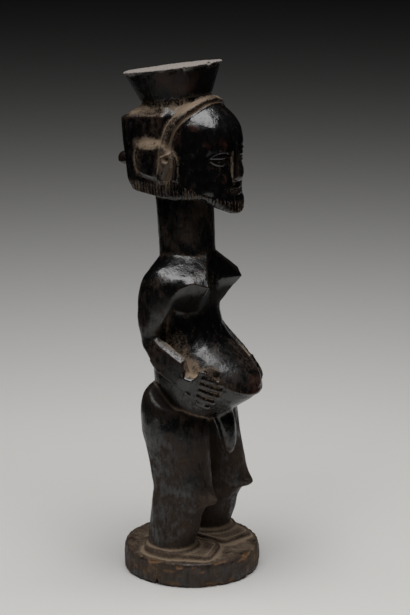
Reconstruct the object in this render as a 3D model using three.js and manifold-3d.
// Standing ancestor figure carved from one block of hardwood: a round base with both feet,
// heavy bent legs, a jutting belly held by both hands, pointed chest, thick neck,
// block-shaped hair with a raised band, and a flared cap on top.
// Millimetres, +Z up. The figure faces -Y and stands on the middle of its base.
import * as THREE from "three";
import { mergeVertices } from "three/addons/utils/BufferGeometryUtils.js";
import Module from "manifold-3d";

const wasm = await Module();
wasm.setup();

// Driving dimensions
const BASE_RADIUS = 49;
const BASE_HEIGHT = 18;
const BASE_EDGE = 1.6; // worn rounding of the base's rims
const LEG_X = 24; // each leg's centre line, out from the middle
const KNEE_Z = 62;
const CHEST_X = 23; // each pointed breast, out from the middle
const CHEST_Z = 214.5;
const LEFT_ARM_LIFT = 3.6;
const LEFT_HAND_REACH = [-2.4, -4.5, 3.6]; // the left hand lies further in, forward and up
const NECK_RADIUS = 19.8;
const HEAD_HALF_WIDTH = 30;
const HAIR_TOP_Z = 345;
const CHIN_Z = 265;
const CAP_FOOT_Z = 341.5;
const CAP_HEIGHT = 22;
const CAP_TOP_RADIUS = 35;
const CAP_FOOT_RADIUS = 24.8;
const CAP_TILT = THREE.MathUtils.degToRad(8.5); // the cap leans back
const SIDES = [-1, 1];

// The face keeps the rule of thirds: hairline to brow, brow to nose, nose to chin.
const HAIRLINE_Z = 340;
const FACE_THIRD = (HAIRLINE_Z - CHIN_Z) / 3;
const BROW_Z = HAIRLINE_Z - FACE_THIRD;
const NOSE_Z = BROW_Z - FACE_THIRD;
const MOUTH_Z = NOSE_Z - FACE_THIRD / 3;
const EYE_Z = (HAIR_TOP_Z + CHIN_Z) / 2; // eyes lie half way up the head
const EYE_X = 12.5;

// Turns a closed geometry into a solid for joining and cutting, with its faces pointing out.
function solid(geometry) {
  const bare = geometry.index ? geometry.clone() : geometry;
  bare.deleteAttribute("normal");
  bare.deleteAttribute("uv");
  const merged = mergeVertices(bare, 1e-4);
  const points = merged.attributes.position.array;
  const triangles = new Uint32Array(merged.index.array);
  const corner = (i) => new THREE.Vector3().fromArray(points, triangles[i] * 3);
  let volume = 0;
  for (let i = 0; i < triangles.length; i += 3) {
    volume += corner(i).dot(corner(i + 1).cross(corner(i + 2)));
  }
  if (volume < 0) {
    for (let i = 0; i < triangles.length; i += 3) {
      [triangles[i + 1], triangles[i + 2]] = [triangles[i + 2], triangles[i + 1]];
    }
  }
  return new wasm.Manifold(
    new wasm.Mesh({ numProp: 3, vertProperties: points, triVerts: triangles }),
  );
}

const joined = (solids) => solids.reduce((all, next) => all.add(next));

// A closed surface through rings of points, with a flat fan over each end.
function skin(rings) {
  const around = rings[0].length;
  const points = rings.flat();
  const faces = [];
  for (let row = 0; row + 1 < rings.length; row++) {
    for (let i = 0; i < around; i++) {
      const next = (i + 1) % around;
      const [a, b] = [row * around + i, row * around + next];
      faces.push(a, b, b + around, a, b + around, a + around);
    }
  }
  for (const row of [0, rings.length - 1]) {
    const middle = new THREE.Vector3();
    rings[row].forEach((p) => middle.addScaledVector(p, 1 / around));
    const hub = points.push(middle) - 1;
    for (let i = 0; i < around; i++) {
      const [a, b] = [row * around + i, row * around + ((i + 1) % around)];
      faces.push(...(row === 0 ? [b, a, hub] : [a, b, hub]));
    }
  }
  return new THREE.BufferGeometry().setFromPoints(points).setIndex(faces);
}

// One level of a body: an oval with its own reach to each side, forward and back, and its
// own height in front and behind. Higher roundness numbers make it squarer. Breasts draw
// two points of its front forward and leave an arch between them and the arms, and a slant
// turns the front of a thigh outward.
function level(s, around) {
  const reach = (share, power) => Math.sign(share) * Math.abs(share) ** (2 / power);
  return Array.from({ length: around }, (_, i) => {
    const turn = (i / around) * 2 * Math.PI;
    const [aside, ahead] = [Math.sin(turn), Math.cos(turn)];
    const front = Math.max(0, ahead);
    const power = ahead > 0 ? s.squareFront : s.squareBack;
    const x = s.x + reach(aside, power) * (aside > 0 ? s.right : s.left);
    const tent = Math.max(0, 1 - Math.abs(Math.abs(x) - CHEST_X) / 19);
    const flat = -reach(ahead, power) * (ahead > 0 ? s.front : s.back);
    const y = flat - s.breasts * tent * Math.sqrt(front) + s.slant * Math.abs(x - s.x) * front
      * Math.sign((x - s.x) * s.x);
    const arch = s.breasts * 0.3 * (1 - tent) * front;
    const share = (flat + s.front) / (s.front + s.back);
    return new THREE.Vector3(x, y, THREE.MathUtils.lerp(s.zFront, s.zBack, share) + arch);
  });
}

const body = (rows, around) => solid(skin(rows.map((s) => level(s, around))));

// A level on the middle line: front and back heights, half width, reach ahead and behind.
const middle = (zFront, zBack, wide, front, back, squareFront = 2, squareBack = 2, breasts = 0) => ({
  zFront, zBack, x: 0, left: wide, right: wide, front, back, squareFront, squareBack, breasts,
  slant: 0,
});

// A swept limb: ovals standing square to a smooth path, `wide` along the given direction.
function limb(stations, steps, around, direction = new THREE.Vector3(1, 0, 0)) {
  const path = new THREE.CatmullRomCurve3(stations.map(([x, y, z]) => new THREE.Vector3(x, y, z)));
  const last = stations.length - 1;
  const rings = Array.from({ length: last * steps + 1 }, (_, row) => {
    const at = row / steps;
    const from = stations[Math.min(Math.floor(at), last - 1)];
    const to = stations[Math.min(Math.floor(at), last - 1) + 1];
    const share = at - Math.min(Math.floor(at), last - 1);
    const wide = THREE.MathUtils.lerp(from[3], to[3], share);
    const deep = THREE.MathUtils.lerp(from[4], to[4], share);
    const centre = path.getPoint(at / last);
    const along = path.getTangent(at / last);
    const across = direction.clone().addScaledVector(along, -along.dot(direction)).normalize();
    const over = along.clone().cross(across);
    return Array.from({ length: around }, (_, i) => {
      const turn = (i / around) * 2 * Math.PI;
      return centre.clone()
        .addScaledVector(across, Math.cos(turn) * wide)
        .addScaledVector(over, Math.sin(turn) * deep);
    });
  });
  return solid(skin(rings));
}

// The same path on both sides of the middle, joined over a front station.
const bridged = (half, front) => [
  ...half.map(([x, ...rest]) => [-x, ...rest]), front, ...half.toReversed(),
];

// A ball squashed to three half sizes, turned about the upright and placed.
function pebble([rx, ry, rz], [x, y, z], turn = 0, detail = 12) {
  const ball = new THREE.SphereGeometry(1, detail, detail / 2);
  return solid(ball.scale(rx, ry, rz).rotateZ(turn).translate(x, y, z));
}

// Base: a thick round slab with worn rims, split by a drying crack at its right side.
function base() {
  const profile = [
    [0, 0], [BASE_RADIUS - BASE_EDGE, 0], [BASE_RADIUS, BASE_EDGE],
    [BASE_RADIUS, BASE_HEIGHT - BASE_EDGE - 0.6], [BASE_RADIUS - BASE_EDGE, BASE_HEIGHT],
    [0, BASE_HEIGHT],
  ].map(([r, z]) => new THREE.Vector2(r, z));
  const slab = solid(new THREE.LatheGeometry(profile, 36).rotateX(Math.PI / 2));
  const split = new THREE.Shape([[-BASE_RADIUS - 2, 1.1], [-BASE_RADIUS - 2, -1.1], [-36, 0]]
    .map(([x, y]) => new THREE.Vector2(x, y)));
  const crack = new THREE.ExtrudeGeometry(split, { depth: BASE_HEIGHT + 4, bevelEnabled: false });
  return slab.subtract(solid(crack.translate(0, -1.5, -2)));
}

// Foot: a low angular slab, square at the toes, with shallow cuts between the toes.
function foot(side) {
  const top = 3.6;
  const outline = [
    [6, 15], [22, 20.5], [35, 18.5], [43, 1], [38.4, -14], [29.4, -33.8], [15, -30.6], [2.6, -26.5], [3, -4],
  ].map(([x, y]) => new THREE.Vector2(side * x, y));
  const slab = new THREE.ExtrudeGeometry(new THREE.Shape(outline), {
    depth: top + 1.2, bevelEnabled: true, bevelThickness: 0.8, bevelSize: 0.8,
    bevelOffset: -0.8, bevelSegments: 1,
  }).translate(0, 0, BASE_HEIGHT - 2);
  const toes = [9.5, 14.5, 20, 25.5].map((x) => solid(
    new THREE.BoxGeometry(1, 11, 1.6).translate(side * x, -32, BASE_HEIGHT + top - 0.4),
  ));
  return solid(slab).subtract(joined(toes));
}

// Leg: a stout shin with the calf notched off behind the knee, the knee drawn forward to a
// point, and a thigh that swells up into the hip and ends at the crease under the belly.
function leg(side) {
  const row = (zFront, zBack, out, inn, front, back, slant = 0, squareFront = 2.1) => ({
    zFront, zBack, x: side * LEG_X, left: side > 0 ? inn : out, right: side > 0 ? out : inn,
    front, back, squareFront, squareBack: 2.3, breasts: 0, slant,
  });
  return body([
    row(15, 15, 19.6, 19, 20.4, 17.8), row(24, 24, 19, 18.6, 20.2, 16.8),
    row(38, 38, 18.4, 18.4, 20.4, 15), row(47, 47, 18.2, 18.4, 21.4, 14),
    row(52, 53, 18, 18.4, 25.6, 13.4), row(57, 59, 17.8, 18.4, 32.6, 12.8, 0, 1.75),
    row(KNEE_Z - 1, 65, 17.4, 18.4, 37.5, 11.6, 0, 1.6),
    row(KNEE_Z + 4, 68, 17, 18.6, 34.6, 10.2, 0.05, 1.65), row(70, 72, 17, 19, 31.5, 10.8, 0.1, 1.8),
    row(78, 79, 17.4, 19.6, 28.6, 12.2, 0.18),
    row(88, 89, 18.2, 20.4, 26.2, 14.4, 0.26), row(99, 101, 19.2, 22.4, 24.4, 17, 0.32),
    row(110, 113, 19.8, 24.6, 23, 19.6, 0.36), row(118, 126, 19.2, 24.6, 21, 20.4, 0.36),
    row(123, 137, 16, 24, 18, 18.6, 0.3), row(126, 144, 10.5, 20, 12.5, 13.5), row(126.5, 146, 4, 9, 6, 6),
  ], 20);
}

// Trunk: hips, a belly pushed out to a hard ridge, a waist, and a yoke of chest and shoulders.
function trunk() {
  return body([
    middle(110, 114, 14, 10, 7), middle(115, 128, 27, 20, 14), middle(120, 141, 34, 28, 17.6),
    middle(127, 150, 36, 38.5, 21), middle(134, 156, 36.5, 48.5, 21.4),
    middle(139.5, 159, 36.4, 54.6, 21.4, 1.9), middle(145, 162, 36, 55.6, 21.2, 1.9, 2.2),
    middle(154, 167, 34.6, 52.6, 21, 1.95, 2.6), middle(163, 171, 31.6, 42, 20.6, 2, 3),
    middle(172, 177, 28.6, 32, 20.2, 2, 3.3), middle(181, 184, 26.2, 24.2, 19.8, 2, 3.5),
    middle(189, 190, 24.8, 19.4, 19.6, 2, 3.5), middle(194, 194, 24.8, 17.4, 19.8, 2.1, 3.5, 0.8),
    middle(199, 198, 26.6, 16.6, 20.2, 2.3, 3.3, 4), middle(205, 204, 30, 16.6, 20.8, 2.5, 3, 8.4),
    middle(210, 209, 33, 16.8, 21.4, 2.6, 2.8, 12), middle(CHEST_Z, 213, 35, 17, 22, 2.7, 2.7, 15),
    middle(218, 217, 35.4, 17.2, 22.6, 2.7, 2.7, 12), middle(224, 222, 33, 17.4, 23.2, 2.6, 2.6, 7.2),
    middle(230, 227, 28.5, 17.2, 23.4, 2.4, 2.5, 2.8), middle(235, 231, 22, 16.6, 22.6),
    middle(238.5, 235, 14, 12, 15),
  ], 34);
}

// Upper arm: from the shoulder straight down to the elbow.
function upperArm(side) {
  return limb([
    [side * 25, 8.5, 228, 3, 3], [side * 28.4, 9, 221.5, 10, 11], [side * 31.4, 9.8, 210, 11.4, 13],
    [side * 32.6, 11, 197, 10, 12], [side * 33.6, 11, 184, 9.2, 11],
    [side * 34.4, 10.6, 173, 7.4, 9],
  ], 2, 14);
}

// Forearm: from the elbow forward and down along the belly to the wrist. The left one was
// carved a little higher and straighter, and without the right one's deep notch at the wrist.
function foreArm(side) {
  const [lift, wrist] = side > 0 ? [LEFT_ARM_LIFT, 7.8] : [0, 5];
  return limb([
    [side * 34.4, 17.6, 178.6, 4.6, 4.4], [side * 35, 10.4, 174 + lift / 2, 8.6, 8.2],
    [side * 36.4, -1, 166.6 + lift, 8.2, 8.6], [side * 36.8, -13.4, 157 + lift, 7, 8.4],
    [side * 36, -20, 150.4 + lift, 5.6, wrist], [side * 34.6, -25, 148 + lift, 4.6, wrist],
  ], 2, 10);
}

// A point of a hand: mirrored to its side, and on the left drawn towards that hand's reach.
const onHand = (side, [x, y, z], share = 1) => {
  const [inward, forward, up] = LEFT_HAND_REACH.map((move) => (side > 0 ? move * share : 0));
  return [side * (x + inward), y + forward, z + up];
};

// Back of the hand: a slab standing taller than the wrist, so that a notch is left above it.
function palm(side) {
  return limb([
    [...onHand(side, [34.8, -22, 148], 0.4), 4.4, 6],
    [...onHand(side, [33.2, -27.4, 148.8], 0.8), 4, 10.2],
    [...onHand(side, [31.4, -31.6, 147.6]), 2.6, 9.6],
  ], 1, 8);
}

// Fingers: the thumb and four fingers lie side by side on the belly, fanned downward.
function fingers(side) {
  const tips = [
    [24.8, -39.4, 151.5], [25.2, -39.3, 147.2], [25.8, -37.7, 142.8], [26.5, -34.8, 138.4],
    [26.5, -30.6, 134.2],
  ];
  return joined(tips.map(([x, y, z], i) => {
    const knuckle = [33 - i * 0.1, -25.2, 156.4 - i * 4.6];
    const bend = [x + 4.6, (y + knuckle[1]) / 2 - 0.6, (z + knuckle[2]) / 2 + 0.6];
    return limb([
      [...onHand(side, knuckle), 2.8, 2.5], [...onHand(side, bend), 3, 2.6],
      [...onHand(side, [x, y, z]), 1.8, 1.7],
    ], 1, 6);
  }));
}

// Loin: a plain tapered lobe carved below the belly.
function loin() {
  return limb([
    [0, -18, 124, 8.6, 7], [0, -27.5, 113.5, 8.8, 7], [0, -31, 103, 8.4, 6.4],
    [0, -31.4, 95, 6.4, 5], [0, -31, 90.5, 2.2, 2],
  ], 2, 12);
}

// Neck: a thick column leaning slightly back.
function neck() {
  return limb([
    [0, 2.8, 224, NECK_RADIUS, NECK_RADIUS], [0, 3.8, 245, NECK_RADIUS, NECK_RADIUS],
    [0, 6.4, 285, NECK_RADIUS + 0.8, NECK_RADIUS + 0.8],
  ], 1, 24);
}

// Hair: a block squared off at the back, its roof falling away from the foot of the cap.
function hair() {
  const wide = HEAD_HALF_WIDTH;
  return body([
    middle(270, 276, wide - 4, 20, 32.5, 3, 4.5), middle(272, 279, wide - 1.4, 22, 37.5, 3, 5),
    middle(290, 292, wide - 0.2, 22, 41.6, 3, 5.2), middle(318, 314, wide + 0.4, 22, 44.8, 3, 5.2),
    middle(334, 328, wide + 0.4, 22, 46, 3, 5.2), middle(337, 330.5, wide - 0.6, 21, 44.6, 3, 5),
    middle(342, 336, wide - 4, 20, 39.5, 2.8, 3.6), middle(HAIR_TOP_Z, 341, wide - 9, 16, 30, 2.4, 2.4),
  ], 30);
}

// Head: the face's smooth oval under a domed forehead, closed below by the jaw.
function face() {
  return body([
    middle(CHIN_Z, 270, 8.5, 33, 8), middle(CHIN_Z + 2, 271, 14.5, 37.6, 10),
    middle(CHIN_Z + 8, 274, 20.6, 38.6, 12, 2.1), middle(MOUTH_Z, 279, 24, 37.4, 14, 2.2),
    middle(NOSE_Z - 2, 285, 26.6, 36.4, 14, 2.3), middle(NOSE_Z + 7, 297, 28.4, 35.6, 14, 2.3),
    middle(EYE_Z, EYE_Z, 29, 34.6, 14, 2.35), middle(BROW_Z - 4, BROW_Z - 4, 29.4, 36.4, 14, 2.35),
    middle(BROW_Z, BROW_Z, 29.4, 37.2, 14, 2.3), middle(BROW_Z + 8, BROW_Z + 8, 29, 36.2, 14, 2.2),
    middle(BROW_Z + 15, BROW_Z + 15, 27.6, 32.4, 14, 2.1),
    middle(HAIRLINE_Z - 5, HAIRLINE_Z - 5, 24.4, 26, 13),
    middle(HAIRLINE_Z, HAIRLINE_Z, 18.5, 19, 12), middle(HAIRLINE_Z + 2.5, HAIRLINE_Z + 2.5, 9, 10, 8),
  ], 24);
}

// Features: lens-shaped closed eyes, a straight nose and a small closed mouth.
function features() {
  const turn = 0.4;
  const eyes = SIDES.map((side) => pebble([8, 2.8, 4], [side * EYE_X, -32.2, EYE_Z], side * turn, 12));
  const slits = SIDES.map((side) => pebble(
    [7.6, 1.6, 0.5], [side * (EYE_X + 0.6), -35.2, EYE_Z - 0.4], side * turn, 8,
  ));
  const nose = limb([
    [0, -34.6, BROW_Z, 2.4, 3], [0, -36, EYE_Z, 2.6, 3.6], [0, -38, NOSE_Z + 5, 4, 4.2],
    [0, -37.6, NOSE_Z, 4.4, 2.4],
  ], 1, 8);
  const lips = SIDES.map((up) => pebble([7.4, 2.4, 1.9], [0, -37, MOUTH_Z + up * 1.5], 0, 10));
  return joined([...eyes, nose, ...lips]).subtract(joined(slits));
}

// Hair band: a raised rim that frames the forehead from ear to ear.
function hairBand() {
  const half = [
    [30, -1, 309, 1.6, 2], [30, -4, 318, 2.2, 2.2], [27.8, -10.5, 329.5, 2.4, 2.2],
    [22, -15, 335.6, 2.4, 2.2], [12, -17.8, 339.6, 2.4, 2.2],
  ];
  return limb(bridged(half, [0, -18.6, 340.8, 2.4, 2.2]), 2, 6, new THREE.Vector3(0, -0.85, -0.52));
}

// Side lock: a raised panel of hair behind each ear, bevelled all round.
function sideLock(side) {
  const outline = new THREE.Shape();
  outline.moveTo(6, 314.5);
  outline.lineTo(20, 313);
  outline.quadraticCurveTo(26, 311, 26.5, 304);
  outline.lineTo(25.5, 296);
  outline.quadraticCurveTo(24, 290.5, 16, 290);
  outline.lineTo(9, 289);
  const panel = new THREE.ExtrudeGeometry(outline, {
    depth: 6, curveSegments: 3, bevelEnabled: true, bevelThickness: 2, bevelSize: 2, bevelOffset: -2,
    bevelSegments: 1,
  });
  const stand = new THREE.Matrix4().makeBasis(
    new THREE.Vector3(0, 1, 0), new THREE.Vector3(0, 0, 1), new THREE.Vector3(1, 0, 0),
  );
  panel.applyMatrix4(stand).translate(HEAD_HALF_WIDTH - 5, 0, 0);
  return solid(side < 0 ? panel.scale(-1, 1, 1) : panel);
}

// Ear: an upright strip with a round hollow, set between the side lock and the face.
function ear(side) {
  const shell = limb([
    [side * 29.8, 3, 314.5, 2.4, 3], [side * 30.6, 1, 308, 3, 4.4],
    [side * 30.6, 2, 298, 3, 4.2], [side * 29.8, 4.4, 288.5, 2.2, 3],
  ], 1, 8);
  return shell.subtract(pebble([3.4, 2.2, 2.4], [side * 33.6, -0.2, 305], 0, 8));
}

// Beard: a low fringe along the jaw from ear to ear.
function beard() {
  const half = [
    [28.8, 0, 281, 6.4, 1.8], [27, -13, 277.4, 5.6, 2], [21, -25.4, 272.8, 4.6, 2.2],
    [12, -33.6, 269.4, 3.8, 2.2],
  ];
  return limb(bridged(half, [0, -36.4, 268.2, 3.4, 2.2]), 2, 8, new THREE.Vector3(0, -0.46, 0.89));
}

// Back knob: the end of a plait standing out low behind the head.
function backKnob() {
  return limb([
    [0, 38, 295.5, 6.4, 6.4], [0, 49, 295.5, 4.6, 4.6], [0, 55, 295.2, 5.2, 5.2],
    [0, 59, 295, 4, 4], [0, 60.4, 295, 1.6, 1.6],
  ], 1, 8);
}

// Cap: a flared drum leaning back on the crown, flat on top.
function cap() {
  const profile = [
    [0, -6], [CAP_FOOT_RADIUS - 0.5, -6], [CAP_FOOT_RADIUS, 0],
    [CAP_TOP_RADIUS - 1.4, CAP_HEIGHT - 1.6], [CAP_TOP_RADIUS, CAP_HEIGHT - 0.8],
    [CAP_TOP_RADIUS - 0.8, CAP_HEIGHT], [0, CAP_HEIGHT],
  ].map(([r, z]) => new THREE.Vector2(r, z));
  const drum = new THREE.LatheGeometry(profile, 32).rotateX(Math.PI / 2 - CAP_TILT);
  return solid(drum.translate(0, 12.2, CAP_FOOT_Z));
}

const carving = joined([
  base(), ...SIDES.map(foot), ...SIDES.map(leg), trunk(), ...SIDES.map(upperArm),
  ...SIDES.map(foreArm), ...SIDES.map(palm), ...SIDES.map(fingers), loin(), neck(), hair(), face(),
  features(), hairBand(), ...SIDES.map(sideLock), ...SIDES.map(ear), beard(), backKnob(), cap(),
]);

const { vertProperties, triVerts } = carving.getMesh();
const surface = new THREE.BufferGeometry()
  .setAttribute("position", new THREE.BufferAttribute(vertProperties, 3))
  .setIndex(new THREE.BufferAttribute(triVerts, 1));
surface.computeVertexNormals();

const hardwood = new THREE.MeshStandardMaterial({ color: 0x1d1714, roughness: 0.42, metalness: 0 });
const figure = new THREE.Mesh(surface, hardwood);
figure.name = "ancestor_figure";

const part = new THREE.Group();
part.add(figure);
export default part;
